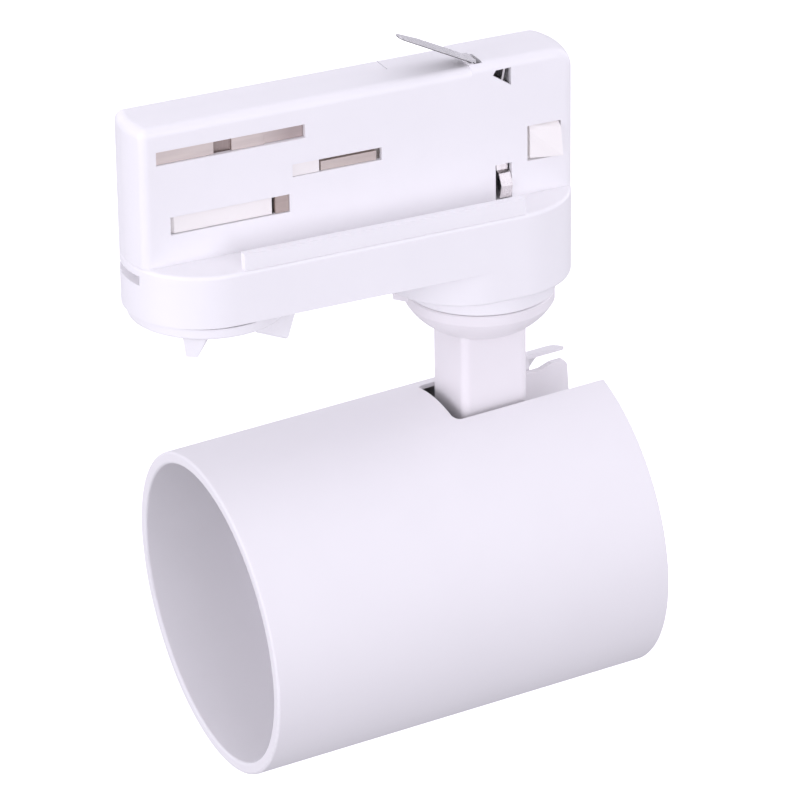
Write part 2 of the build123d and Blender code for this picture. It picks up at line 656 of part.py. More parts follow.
def radial_grip(reach, top_sides, bottom_sides, z_top, z_bottom, slopes, lift):
    """A finger grip along +X from the spindle; its sides and ends draw in towards the bottom."""
    inner, outer = reach
    section = [(top_sides[0], z_top), (top_sides[1], z_top), (bottom_sides[1], z_bottom),
               (bottom_sides[0], z_bottom)]
    grip = extrude(Plane.YZ.offset(inner) * make_face(Polyline(*section, close=True)),
                   amount=outer - inner)
    side_view = [(inner, z_top), (outer, z_top), (outer - slopes[1], z_bottom),
                 (inner + slopes[0], z_bottom + lift)]
    trim = make_face(Polyline(*side_view, close=True))
    return grip & extrude(Plane.XZ * trim, amount=KNOB_RADIUS, both=True)


def lock_lever():
    """The knob under the round end, with its hub and the lever tab."""
    top = BASE_BOTTOM_Z - KNOB_GAP
    disc = rod_z(0, 0, KNOB_BOTTOM_Z, top, KNOB_RADIUS)
    disc = fillet(bottom_edges(disc), KNOB_ROUND)
    disc -= rod_z(0, 0, KNOB_BOTTOM_Z - CUT, KNOB_BOTTOM_Z + DIAL_POCKET, DIAL_RADIUS + DIAL_GAP)
    disc += rod_z(0, 0, top, BASE_BOTTOM_Z + COVER_THICK, KNOB_HUB)
    tab = radial_grip(LEVER_REACH, LEVER_TOP_SIDES, LEVER_BOTTOM_SIDES, top, LEVER_BOTTOM_Z,
                      LEVER_SLOPES, LEVER_LIFT)
    disc += Rot(0, 0, LEVER_ANGLE) * fillet(bottom_edges(tab), LEVER_ROUND)
    disc -= rod_z(0, 0, KNOB_BOTTOM_Z - CUT, 0, SPINDLE_RADIUS)
    return Pos(LOCK_X, 0, 0) * disc


def lock_spindle():
    """The hollow spindle that turns the lock plate and the neutral contact."""
    top = SHELF_POCKETS[1][0] - SPINDLE_GAP
    outer = rod_z(LOCK_X, 0, KNOB_BOTTOM_Z + DIAL_POCKET, top, SPINDLE_RADIUS)
    return outer - rod_z(LOCK_X, 0, KNOB_BOTTOM_Z, top + CUT, SPINDLE_BORE)


def lock_plate():
    """A plate with two round lobes: in line it hides in the housing, across it grips the track."""
    z0, z1 = LOCK_SLOT[2] + LOCK_PLATE_GAP, LOCK_SLOT[3] - LOCK_PLATE_GAP
    short, long = LOCK_PLATE_RADII
    width = LOCK_PLATE_HALF_WIDTH
    plate = rod_z(0, 0, z0, z1, long) & slab(0, long, -long, long, z0, z1)
    plate += rod_z(0, 0, z0, z1, short)
    plate &= slab(-long, long, -width, width, z0, z1)
    return Pos(LOCK_X, 0, 0) * (plate - rod_z(0, 0, z0, z1, SPINDLE_RADIUS))


def contact_arm(levels, reach, half, hub, bore):
    """A round-ended contact arm that points along +X from its hub."""
    z0, z1 = levels
    arm = rod_z(0, 0, z0, z1, hub) + slab(0, reach - half, -half, half, z0, z1)
    arm += rod_z(reach - half, 0, z0, z1, half)
    return arm - rod_z(0, 0, z0, z1, bore)


def neutral_contact_arm():
    """The arm on the lock spindle; it swings out through the rear slot."""
    arm = contact_arm(NEUTRAL_ARM_Z, NEUTRAL_REACH, NEUTRAL_HALF, NEUTRAL_HUB, SPINDLE_RADIUS)
    return Pos(LOCK_X, 0, 0) * arm


def phase_contact_arm():
    """The short arm on the dial spindle; it wipes over the strips at the back of its pocket."""
    arm = contact_arm(PHASE_ARM_Z, PHASE_REACH, PHASE_HALF, PHASE_HUB, DIAL_SPINDLE_RADIUS)
    return Pos(LOCK_X, 0, 0) * Rot(0, 0, 90) * arm


def phase_dial():
    """The phase selector: a nearly flush disc with a pointer fin."""
    low = KNOB_BOTTOM_Z - DIAL_PROUD
    disc = rod_z(0, 0, low, KNOB_BOTTOM_Z + DIAL_POCKET - DIAL_PROUD, DIAL_RADIUS)
    fin = radial_grip(FIN_REACH, FIN_TOP_SIDES, FIN_BOTTOM_SIDES, low, FIN_BOTTOM_Z, FIN_SLOPES,
                      FIN_LIFT)
    return Pos(LOCK_X, 0, 0) * (disc + Rot(0, 0, FIN_ANGLE) * fin)


def dial_spindle():
    """The rod inside the lock spindle that turns the phase contact."""
    low = KNOB_BOTTOM_Z + DIAL_POCKET - DIAL_PROUD
    return rod_z(LOCK_X, 0, low, CARRIER_TOP - DIAL_SPINDLE_DROP, DIAL_SPINDLE_RADIUS)


# ---- Swivel arm ----


def swivel_ring():
    """The fixed ring under the boss that the bowl turns in."""
    ring = rod_z(SWIVEL_X, 0, RING_BOTTOM_Z, BOSS_BOTTOM_Z, RING_RADIUS)
    ring = fillet(bottom_edges(ring), RING_EDGE)
    return ring - rod_z(SWIVEL_X, 0, RING_BOTTOM_Z - CUT, BOSS_BOTTOM_Z + CUT, HUB_RADIUS)


def rim_lug():
    """The small blunt lug on the bowl's rim, from the middle of the bowl outwards."""
    def at(radius, angle):
        return Vector(radius, 0, 0).rotate(Axis.Z, LUG_ANGLE + angle)

    root = BOWL_RADIUS - LUG_ROOT
    corners = [at(root, -LUG_ROOT_ANGLE), at(LUG_REACH, -LUG_TIP_ANGLE),
               at(LUG_REACH, LUG_TIP_ANGLE), at(root, LUG_ROOT_ANGLE)]
    plan = make_face(Polyline(*corners, close=True))
    return raise_plan(plan, BOWL_TOP_Z - LUG_THICKNESS, BOWL_TOP_Z)


def swivel_bowl():
    """The collar that turns with the stem: a band that curves in below, with a lug on the rim."""
    band_end = Vector(BOWL_RADIUS, BOWL_BAND_Z)
    bottom = Vector(BOWL_BOTTOM_RADIUS, BOWL_BOTTOM_Z)
    outwards = (bottom - band_end).normalized().rotate(Axis.Z, 90)
    waist = (band_end + bottom) / 2 + outwards * BOWL_BULGE
    upper = Polyline((0, BOWL_BOTTOM_Z), (0, BOWL_TOP_Z), (BOWL_RADIUS - BOWL_EDGE, BOWL_TOP_Z),
                     (BOWL_RADIUS, BOWL_TOP_Z - BOWL_EDGE), band_end)
    lower = [ThreePointArc(band_end, waist, bottom), Line(bottom, (0, BOWL_BOTTOM_Z))]
    bowl = revolve(Plane.XZ * make_face(Curve() + [upper] + lower), Axis.Z)
    bowl += rim_lug()
    bowl += rod_z(0, 0, BOWL_TOP_Z, BOSS_BOTTOM_Z - HUB_DROP, HUB_RADIUS - RUNNING_GAP)
    bowl -= rod_z(0, 0, BOWL_BOTTOM_Z - CUT, BOSS_BOTTOM_Z, NIPPLE_RADIUS)
    bowl -= slab(-TENON, TENON, -TENON, TENON, BOWL_BOTTOM_Z - CUT, BOWL_BOTTOM_Z + TENON_HEIGHT)
    return Pos(SWIVEL_X, 0, 0) * bowl


def stem():
    """The square stem: tenon in the bowl above, rounded end with the pivot bore below."""
    half = STEM_WIDTH / 2
    column = slab(-half, half, -half, half, PIVOT_Z, BOWL_BOTTOM_Z)
    column = fillet(column.edges().filter_by(Axis.Z), STEM_EDGE)
    foot = rod_y(0, PIVOT_Z, -half, half, half)
    foot &= slab(-half, half, -half, half, PIVOT_Z - half, PIVOT_Z)
    body = column + foot
    body += slab(-TENON, TENON, -TENON, TENON, BOWL_BOTTOM_Z, BOWL_BOTTOM_Z + TENON_HEIGHT)
    exit_z = PIVOT_Z + WIRE_EXIT
    body -= rod_z(0, 0, exit_z, BOWL_BOTTOM_Z + TENON_HEIGHT + CUT, WIRE_BORE)
    body -= rod_x(0, exit_z, -half - CUT, 0, WIRE_BORE)
    body -= rod_y(0, PIVOT_Z, -half - CUT, half + CUT, BOLT_RADIUS + RUNNING_GAP)
    return Pos(SWIVEL_X, 0, 0) * body


def swivel_nipple():
    """The hollow threaded nipple that holds the bowl up and lets the wires through."""
    low = BOWL_BOTTOM_Z + TENON_HEIGHT
    high = BOSS_BOTTOM_Z + BOSS_FLOOR + WASHER_THICKNESS + NUT_THICKNESS + NIPPLE_END
    bore = rod_z(SWIVEL_X, 0, low, high, NIPPLE_BORE)
    return rod_z(SWIVEL_X, 0, low, high, NIPPLE_RADIUS) - bore


def stop_washer():
    """The washer whose tab meets the peg in the boss and so limits the swivel."""
    z0 = BOSS_BOTTOM_Z + BOSS_FLOOR
    z1 = z0 + WASHER_THICKNESS
    washer = rod_z(0, 0, z0, z1, STOP_PEG_REACH - STOP_PEG_RADIUS - WASHER_GAP)
    washer += slab(-WASHER_TAB_HALF, WASHER_TAB_HALF, -STOP_PEG_REACH - WASHER_TAB_END, 0, z0, z1)
    return Pos(SWIVEL_X, 0, 0) * (washer - rod_z(0, 0, z0, z1, NIPPLE_RADIUS))


def nipple_nut():
    z0 = BOSS_BOTTOM_Z + BOSS_FLOOR + WASHER_THICKNESS
    plan = RegularPolygon(NUT_FLATS / 2, 6, major_radius=False) - Circle(NIPPLE_RADIUS)
    return Pos(SWIVEL_X, 0, 0) * raise_plan(plan, z0, z0 + NUT_THICKNESS)


# ---- Head ----


def tilted(piece):
    """Place a head piece at the pivot, at the head's rest tilt."""
    return Pos(SWIVEL_X, 0, PIVOT_Z) * Rot(0, -HEAD_TILT, 0) * piece


def tube_housing():
    """The round tube: thick round the mouth, thin behind, with a slot out through the rear."""
    tube = rod_x(0, AXIS_Z, TUBE_FRONT, TUBE_REAR, TUBE_RADIUS)
    tube -= rod_x(0, AXIS_Z, TUBE_FRONT - CUT, REAR_BORE_X + CUT, MOUTH_BORE)
    tube -= rod_x(0, AXIS_Z, REAR_BORE_X, TUBE_REAR + CUT, REAR_BORE)
    rims = tube.edges().filter_by(GeomType.CIRCLE).sort_by(Axis.X)
    tube = fillet(rims[:2], MOUTH_ROUND)
    rims = tube.edges().filter_by(GeomType.CIRCLE).sort_by(Axis.X)
    tube = fillet(rims[-2:], REAR_ROUND)
    length = TUBE_REAR + CUT - STEM_SLOT_FRONT
    plan = Pos(STEM_SLOT_FRONT + length / 2, 0) * Rectangle(length, 2 * STEM_SLOT_HALF)
    plan = fillet(plan.vertices().sort_by(Axis.X)[:2], STEM_SLOT_CORNER)
    return tilted(tube - raise_plan(plan, 0, TUBE_RADIUS))


def tilt_bracket():
    """Two cheeks either side of the stem, a web in front and flanges for the rear cover."""
    bracket = Part()
    flange_front = COVER_SEAT - CHEEK_THICKNESS
    hump_start, hump_full, rise = CHEEK_HUMP
    outline = [(CHEEK_FRONT, CHEEK_BOTTOM), (CHEEK_REAR, CHEEK_BOTTOM),
               (CHEEK_REAR, CHEEK_TOP + rise), (hump_full, CHEEK_TOP + rise),
               (hump_start, CHEEK_TOP), (CHEEK_FRONT, CHEEK_TOP)]
    for side in (-1, 1):
        y0, y1 = sorted((side * CHEEK_INNER, side * CHEEK_OUTER))
        cheek = extrude(Plane.XZ.offset(-y1) * make_face(Polyline(*outline, close=True)),
                        amount=y1 - y0)
        corner = cheek.edges().filter_by(Axis.Y).sort_by(SortBy.DISTANCE)[-1]
        bracket += fillet(corner, CHEEK_ROUND)
        y0, y1 = sorted((side * CHEEK_OUTER, side * FLANGE_REACH))
        bracket += slab(flange_front, COVER_SEAT, y0, y1, CHEEK_BOTTOM, FLANGE_TOP)
    bracket += slab(CHEEK_FRONT, CHEEK_FRONT + CHEEK_THICKNESS, -CHEEK_INNER, CHEEK_INNER, *WEB_Z)
    bracket -= rod_y(0, 0, -CHEEK_OUTER - CUT, CHEEK_OUTER + CUT, BOLT_RADIUS + RUNNING_GAP)
    for y, z in REAR_SCREWS:
        bracket -= rod_x(y, z, flange_front - CUT, COVER_SEAT + CUT, SCREW_CORE)
    return tilted(bracket)


def pivot_bolt():
    """The bolt through both cheeks and the stem's foot, with a hexagon socket in its head."""
    end = CHEEK_OUTER + BOLT_HEAD_DEPTH
    shank = rod_y(0, 0, -CHEEK_OUTER, CHEEK_OUTER + PIVOT_NUT[1] + BOLT_END, BOLT_RADIUS)
    head = rod_y(0, 0, -end, -CHEEK_OUTER, BOLT_HEAD_RADIUS)
    head = fillet(head.faces().sort_by(Axis.Y)[0].edges(), BOLT_HEAD_ROUND)
    half_flats, depth = BOLT_SOCKET
    socket = Plane.XZ.offset(end) * RegularPolygon(half_flats, 6, major_radius=False)
    return tilted(shank + head - extrude(socket, amount=-depth))


def pivot_nut():
    half_flats, thickness = PIVOT_NUT
    plan = RegularPolygon(half_flats, 6, major_radius=False) - Circle(BOLT_RADIUS)
    return tilted(extrude(Plane.XZ.offset(-CHEEK_OUTER) * plan, amount=-thickness))


def friction_washers():
    """A thin washer between each cheek and the stem; their grip holds the tilt."""
    washers = Part()
    for side in (-1, 1):
        y0, y1 = sorted((side * (STEM_WIDTH / 2 + RUNNING_GAP), side * CHEEK_INNER))
        washers += rod_y(0, 0, y0, y1, WASHER_RADIUS) - rod_y(0, 0, y0, y1, BOLT_RADIUS)
    return tilted(washers)


def rear_cover():
    """The recessed rear disc, with a notch for the stem and two rows of vents."""
    back = COVER_SEAT + COVER_THICKNESS
    disc = rod_x(0, AXIS_Z, COVER_SEAT, back, REAR_BORE - COVER_FIT)
    notch = CHEEK_OUTER + NOTCH_GAP
    disc -= slab(COVER_SEAT - CUT, back + CUT, -notch, notch, CHEEK_BOTTOM - NOTCH_GAP, TUBE_RADIUS)
    for row in range(VENT_ROWS):
        z = AXIS_Z + VENT_TOP - VENT_PITCH * row
        for side in (-1, 1):
            disc -= Pos(COVER_SEAT, side * VENT_Y, z) * Box(3 * COVER_THICKNESS, *VENT)
    for y, z in REAR_SCREWS:
        disc -= rod_x(y, z, COVER_SEAT - CUT, back + CUT, SCREW_CORE)
    return tilted(disc)


def baffle_ring():
    """The ring deep in the mouth that frames the lamp."""
    ring = rod_x(0, AXIS_Z, BAFFLE_X, BAFFLE_X + BAFFLE_DEPTH, MOUTH_BORE)
    ring -= rod_x(0, AXIS_Z, BAFFLE_X + BAFFLE_WALL, BAFFLE_X + BAFFLE_DEPTH + CUT,
                  MOUTH_BORE - BAFFLE_WALL)
    hole = rod_x(0, AXIS_Z, BAFFLE_X - CUT, BAFFLE_X + BAFFLE_DEPTH, LAMP_RADIUS + BAFFLE_GAP)
    return tilted(ring - hole)


def lamp_frame():
    """A bent strip: two legs from the baffle, joined behind the lamp by the holder's plate."""
    z0, z1 = AXIS_Z - FRAME_WIDTH / 2, AXIS_Z + FRAME_WIDTH / 2
    front = BAFFLE_X + BAFFLE_WALL
    back = FRAME_REAR + FRAME_THICKNESS
    frame = slab(FRAME_REAR, back, -FRAME_HALF, FRAME_HALF, z0, z1)
    for side in (-1, 1):
        y0, y1 = sorted((side * FRAME_HALF, side * (FRAME_HALF - FRAME_THICKNESS)))
        frame += slab(front, back, y0, y1, z0, z1)
        y0, y1 = sorted((side * FRAME_HALF, side * (FRAME_HALF + FRAME_FOOT)))
        frame += slab(front, front + FRAME_THICKNESS, y0, y1, z0, z1)
    return tilted(frame)


def lamp_body():
    """The reflector lamp: a flared body with a shallow front pocket and a round neck."""
    rim = LAMP_OUTLINE[0][0]
    outline = [(LAMP_FRONT, 0), (LAMP_FRONT, LAMP_RADIUS), (rim, LAMP_RADIUS), *LAMP_OUTLINE,
               (LAMP_NECK_X, LAMP_NECK), (LAMP_REAR, LAMP_NECK), (LAMP_REAR, 0)]
    body = revolve(Plane.XZ * make_face(Polyline(*outline, close=True)), Axis.X)
    body -= rod_x(0, 0, LAMP_FRONT - CUT, LAMP_FRONT + LENS_POCKET, LAMP_RADIUS - LENS_EDGE)
    return tilted(Pos(0, 0, AXIS_Z) * body)


def lamp_lens():
    """The clear disc in the lamp's front pocket."""
    back = LAMP_FRONT + LENS_POCKET
    return tilted(rod_x(0, AXIS_Z, LAMP_FRONT + LENS_RECESS, back, LAMP_RADIUS - LENS_EDGE))


def lamp_pins():
    """Two pins with wide feet that lock into the holder."""
    pins = Part()
    end = LAMP_REAR + PIN_LENGTH
    for side in (-1, 1):
        y = side * PIN_SPACING / 2
        pins += rod_x(y, AXIS_Z, LAMP_REAR, end - PIN_FOOT, PIN_SHANK)
        pins += rod_x(y, AXIS_Z, end - PIN_FOOT, end, PIN_RADIUS)
    return tilted(pins)


def retaining_ring():
    """The spring wire ring in front of the lamp."""
    outside, behind = CLIP_GAP
    ring = Rot(0, 90, 0) * Torus(LAMP_RADIUS - CLIP_WIRE - outside, CLIP_WIRE)
    return tilted(Pos(LAMP_FRONT - CLIP_WIRE - behind, 0, AXIS_Z) * ring)


def lamp_holder():
    """The ceramic holder, with a round pocket for each pin."""
    front = LAMP_REAR + HOLDER_GAP
    body = rod_x(0, AXIS_Z, front, FRAME_REAR, HOLDER_RADIUS)
    body = chamfer(body.faces().sort_by(Axis.X)[0].edges(), HOLDER_EDGE)
    for side in (-1, 1):
        y = side * PIN_SPACING / 2
        pocket_end = LAMP_REAR + PIN_LENGTH + PIN_END_GAP
        body -= rod_x(y, AXIS_Z, front - CUT, pocket_end, PIN_RADIUS + HOLDER_GAP)
    return tilted(body)


PIECES = [
    base_shell, bottom_cover, cover_screws, housing_front, housing_rear, housing_screws,
    contact_carrier, phase_contact_strips, neutral_contact_strip, earth_side_clip, earth_blade,
    latch_front, latch_rear, latch_spring_front, latch_spring_rear,
    lock_lever, lock_spindle, lock_plate, neutral_contact_arm,
    phase_dial, dial_spindle, phase_contact_arm,
    swivel_ring, swivel_bowl, stem, swivel_nipple, stop_washer, nipple_nut,
    tube_housing, tilt_bracket, pivot_bolt, pivot_nut, friction_washers, rear_cover, rear_screws,
    baffle_ring, lamp_frame, lamp_body, lamp_lens, lamp_pins, retaining_ring, lamp_holder,
]

os.makedirs("parts", exist_ok=True)
for piece in PIECES:
    export_step(piece(), f"parts/{piece.__name__}.step")
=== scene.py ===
import json
import math

import bmesh
import bpy
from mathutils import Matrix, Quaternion, Vector


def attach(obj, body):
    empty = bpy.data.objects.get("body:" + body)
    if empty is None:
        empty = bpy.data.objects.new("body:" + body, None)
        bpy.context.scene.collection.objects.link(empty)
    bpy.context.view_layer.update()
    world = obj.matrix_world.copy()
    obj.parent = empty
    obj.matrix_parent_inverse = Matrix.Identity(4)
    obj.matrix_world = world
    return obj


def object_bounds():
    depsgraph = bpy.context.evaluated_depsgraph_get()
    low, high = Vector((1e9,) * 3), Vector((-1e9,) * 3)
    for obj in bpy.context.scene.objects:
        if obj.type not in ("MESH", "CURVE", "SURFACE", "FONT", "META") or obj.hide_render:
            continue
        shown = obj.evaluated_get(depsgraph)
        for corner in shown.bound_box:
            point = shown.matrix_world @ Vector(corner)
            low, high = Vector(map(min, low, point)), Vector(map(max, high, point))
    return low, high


# Track spotlight: looks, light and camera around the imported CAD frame. Metres, +Z up.

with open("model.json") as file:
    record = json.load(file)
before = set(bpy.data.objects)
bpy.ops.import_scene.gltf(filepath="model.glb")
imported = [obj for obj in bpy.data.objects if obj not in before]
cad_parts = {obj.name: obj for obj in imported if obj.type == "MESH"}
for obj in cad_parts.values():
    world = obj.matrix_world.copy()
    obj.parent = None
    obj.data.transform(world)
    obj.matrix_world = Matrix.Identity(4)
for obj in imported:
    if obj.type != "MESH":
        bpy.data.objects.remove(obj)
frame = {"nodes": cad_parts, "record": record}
CAD_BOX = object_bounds()
MM = 0.001


# ---- Camera ----

VIEW_AZIMUTH = math.radians(-25.23)
VIEW_ELEVATION = math.radians(25.40)
VIEW_ROLL = math.radians(-0.76)
VIEW_DISTANCE = 1.2
VIEW_AIM = Vector((0.0026, -0.0231, -0.0397))
LENS = 244.85
SENSOR = 36.0
CLIP_NEAR = 0.05
CLIP_FAR = 50


def direction(azimuth, elevation):
    """The unit vector from the object towards an azimuth and elevation; azimuth 0 is -Y."""
    level = math.cos(elevation)
    return Vector((math.sin(azimuth) * level, -math.cos(azimuth) * level, math.sin(elevation)))


def make_camera():
    data = bpy.data.cameras.new("camera")
    data.lens = LENS
    data.sensor_width = SENSOR
    data.clip_start = CLIP_NEAR
    data.clip_end = CLIP_FAR
    camera = bpy.data.objects.new("camera", data)
    bpy.context.scene.collection.objects.link(camera)
    back = direction(VIEW_AZIMUTH, VIEW_ELEVATION)
    camera.location = VIEW_AIM + back * VIEW_DISTANCE
    camera.rotation_mode = "QUATERNION"
    roll = Quaternion((0, 0, 1), VIEW_ROLL)
    camera.rotation_quaternion = (-back).to_track_quat("-Z", "Y") @ roll
    bpy.context.scene.camera = camera


# ---- Studio ----

LIGHT_COLOUR = (0.932, 0.902, 1.0)
WORLD_COLOUR = (0.918, 0.893, 1.0)
WORLD_LEVELS = [(0.0, 0.50), (0.5, 0.66), (1.0, 0.76)]     # straight down, level and straight up
STRAIGHT_DOWN = -1                  # the world direction's Z at the first level
STUDIO_CENTRE = Vector((0, 0, -0.05))
SOFTBOXES = [       # name, azimuth, elevation, distance, size, watts
    ("key_left", -82, 10, 1.6, 1.4, 11.9),
    ("fill_front", 6, 12, 1.6, 1.4, 8.6),
    ("fill_right", 100, 20, 1.8, 1.4, 6.6),
    ("fill_back", 184, 25, 1.8, 1.4, 5.0),
    ("top", 20, 78, 1.6, 1.4, 1.5),
]
FLOOR_DROP = 0.16
FLOOR_RADIUS = 12.0
FLOOR_SIDES = 96
FLOOR_ROUGHNESS = 0.9
FLOOR_GLOW = 0.5
FLOOR_MOTTLE = 0.4
FLOOR_TONES = ((0.94, 0.94, 0.95), (0.96, 0.96, 0.97))


def softbox(name, azimuth, elevation, distance, size, watts):
    data = bpy.data.lights.new(name, "AREA")
    data.shape = "DISK"
    data.size = size
    data.energy = watts
    data.color = LIGHT_COLOUR
    light = bpy.data.objects.new(name, data)
    bpy.context.scene.collection.objects.link(light)
    towards = direction(math.radians(azimuth), math.radians(elevation))
    light.visible_camera = False
    light.location = STUDIO_CENTRE + towards * distance
    light.rotation_mode = "QUATERNION"
    light.rotation_quaternion = (-towards).to_track_quat("-Z", "Y")


def make_lights():
    """The pale surroundings, darker below the part than above it, and the softboxes."""
    world = bpy.data.worlds.new("studio")
    world.use_nodes = True
    background = world.node_tree.nodes["Background"]
    place = world.node_tree.nodes.new("ShaderNodeTexCoord")
    split = world.node_tree.nodes.new("ShaderNodeSeparateXYZ")
    height = world.node_tree.nodes.new("ShaderNodeMapRange")
    height.inputs["From Min"].default_value = STRAIGHT_DOWN
    world.node_tree.links.new(place.outputs["Generated"], split.inputs["Vector"])
    world.node_tree.links.new(split.outputs["Z"], height.inputs["Value"])
    sky = ramp(world, height.outputs["Result"], [
        (position, tuple(strength * value for value in WORLD_COLOUR))
        for position, strength in WORLD_LEVELS
    ])
    world.node_tree.links.new(sky, background.inputs["Color"])
    bpy.context.scene.world = world
    bpy.context.scene.view_settings.view_transform = "Standard"
    for row in SOFTBOXES:
        softbox(*row)


def make_floor():
    bpy.ops.mesh.primitive_circle_add(vertices=FLOOR_SIDES, radius=FLOOR_RADIUS, fill_type="NGON")
    floor = bpy.context.object
    floor.name = "floor"
    floor.location.z = CAD_BOX[0].z - FLOOR_DROP
    floor.visible_diffuse = False
    floor.visible_glossy = False
    floor.visible_shadow = False
    paint, shader = new_material("floor_paint")
    shader.inputs["Roughness"].default_value = FLOOR_ROUGHNESS
    shader.inputs["Emission Strength"].default_value = FLOOR_GLOW
    shader.inputs["Emission Color"].default_value = (1, 1, 1, 1)
    tone_noise(paint, shader, FLOOR_MOTTLE, *FLOOR_TONES)
    floor.data.materials.append(paint)


# ---- Material building blocks ----

NOISE_SPAN = (0.3, 0.7)             # nearly all of a noise texture's values lie between these
TONE_DETAIL = 3.0
GRAIN_DETAIL = 2.0
NEW_STOP = 0.5                      # an extra ramp stop starts here and then takes its own place
EVEN = (1, 1, 1)
ALONG_X = (0.08, 1, 1)
ALONG_Z = (1, 1, 0.08)


def new_material(name):
    material = bpy.data.materials.new(name)
    material.use_nodes = True
    return material, material.node_tree.nodes["Principled BSDF"]


def noise(material, size, stretch=EVEN, detail=GRAIN_DETAIL):
    """A noise value with features about size metres across, longer along a small stretch."""
    nodes, links = material.node_tree.nodes, material.node_tree.links
    place = nodes.new("ShaderNodeTexCoord")
    mapping = nodes.new("ShaderNodeMapping")
    mapping.inputs["Scale"].default_value = stretch
    texture = nodes.new("ShaderNodeTexNoise")
    texture.inputs["Scale"].default_value = 1 / size
    texture.inputs["Detail"].default_value = detail
    links.new(place.outputs["Object"], mapping.inputs["Vector"])
    links.new(mapping.outputs["Vector"], texture.inputs["Vector"])
    return texture.outputs["Fac"]


def ramp(material, value, stops):
    """A colour ramp over a value; stops are (position, (r, g, b))."""
    node = material.node_tree.nodes.new("ShaderNodeValToRGB")
    while len(node.color_ramp.elements) < len(stops):
        node.color_ramp.elements.new(NEW_STOP)
    for element, (position, colour) in zip(node.color_ramp.elements, stops):
        element.position = position
        element.color = (*colour, 1)
    material.node_tree.links.new(value, node.inputs["Fac"])
    return node.outputs["Color"]


def tone_noise(material, shader, size, dark, light, stretch=EVEN):
    """Base colour that drifts between two close tones."""
    stops = list(zip(NOISE_SPAN, (dark, light)))
    tones = ramp(material, noise(material, size, stretch, TONE_DETAIL), stops)
    material.node_tree.links.new(tones, shader.inputs["Base Color"])


def rough_noise(material, shader, size, low, high, stretch=EVEN):
    """Roughness that drifts between two values."""
    node = material.node_tree.nodes.new("ShaderNodeMapRange")
    node.inputs["From Min"].default_value, node.inputs["From Max"].default_value = NOISE_SPAN
    node.inputs["To Min"].default_value = low
    node.inputs["To Max"].default_value = high
    links = material.node_tree.links
    links.new(noise(material, size, stretch), node.inputs["Value"])
    links.new(node.outputs["Result"], shader.inputs["Roughness"])


def bumps(material, shader, layers, stretch=EVEN):
    """Stacked bump layers; each is (feature size, depth, strength), the first two in metres."""
    normal = None
    for size, depth, strength in layers:
        node = material.node_tree.nodes.new("ShaderNodeBump")
        node.inputs["Distance"].default_value = depth
        node.inputs["Strength"].default_value = strength
        material.node_tree.links.new(noise(material, size, stretch), node.inputs["Height"])
        if normal is not None:
            material.node_tree.links.new(normal, node.inputs["Normal"])
        normal = node.outputs["Normal"]
    material.node_tree.links.new(normal, shader.inputs["Normal"])


# ---- Finishes ----

PLASTIC_IOR = 1.5
PLASTIC_SCATTER = 0.15
PLASTIC_SCATTER_DEPTH = 1.0 * MM
PLASTIC_CLOUD = 14 * MM             # size of the drift in tone; below, that of the drift in sheen
PLASTIC_SHEEN = 6 * MM
PLASTIC_SHEEN_DRIFT = 0.04
PLASTIC_BUMPS = [(9 * MM, 0.03 * MM, 0.5), (0.22 * MM, 0.006 * MM, 0.5)]

COAT_IOR = 1.45
COAT_CLOUD = 20 * MM
COAT_SHEEN = 1.5 * MM
COAT_SHEEN_DRIFT = 0.05
COAT_BUMPS = [(2.2 * MM, 0.02 * MM, 0.5), (0.3 * MM, 0.012 * MM, 0.6)]

METAL_STREAK = 1.2 * MM
METAL_SHEEN = 0.5 * MM
METAL_SHEEN_DRIFT = (0.06, 0.08)    # smoother by the first, rougher by the second
METAL_BUMPS = [(0.12 * MM, 0.004 * MM, 0.5)]

GLASS_IOR = 1.49
GLASS_CLOUD = 10 * MM
GLASS_TONES = ((0.96, 0.97, 0.98), (0.98, 0.99, 1.0))
GLASS_SHEEN = 5 * MM
GLASS_ROUGHNESS = (0.02, 0.06)
GLASS_BUMPS = [(4 * MM, 0.01 * MM, 0.3)]


def moulded_plastic(name, dark, light, roughness):
    """Satin moulded plastic: faint clouding, spark-eroded grain and slow sheen drift."""
    material, shader = new_material(name)
    shader.inputs["IOR"].default_value = PLASTIC_IOR
    shader.inputs["Subsurface Weight"].default_value = PLASTIC_SCATTER
    shader.inputs["Subsurface Radius"].default_value = EVEN
    shader.inputs["Subsurface Scale"].default_value = PLASTIC_SCATTER_DEPTH
    tone_noise(material, shader, PLASTIC_CLOUD, dark, light)
    rough_noise(material, shader, PLASTIC_SHEEN, roughness - PLASTIC_SHEEN_DRIFT,
                roughness + PLASTIC_SHEEN_DRIFT)
    bumps(material, shader, PLASTIC_BUMPS)
    return material


def powder_coat(name, dark, light, roughness):
    """Fine matt powder coat: pebbled grain over a slight orange peel."""
    material, shader = new_material(name)
    shader.inputs["IOR"].default_value = COAT_IOR
    tone_noise(material, shader, COAT_CLOUD, dark, light)
    rough_noise(material, shader, COAT_SHEEN, roughness - COAT_SHEEN_DRIFT,
                roughness + COAT_SHEEN_DRIFT)
    bumps(material, shader, COAT_BUMPS)
    return material


def drawn_metal(name, dark, light, roughness, stretch):
    """Rolled or drawn metal with fine lines along one axis."""
    material, shader = new_material(name)
    shader.inputs["Metallic"].default_value = 1.0
    tone_noise(material, shader, METAL_STREAK, dark, light, stretch)
    rough_noise(material, shader, METAL_SHEEN, roughness - METAL_SHEEN_DRIFT[0],
                roughness + METAL_SHEEN_DRIFT[1], stretch)
    bumps(material, shader, METAL_BUMPS, stretch)
    return material


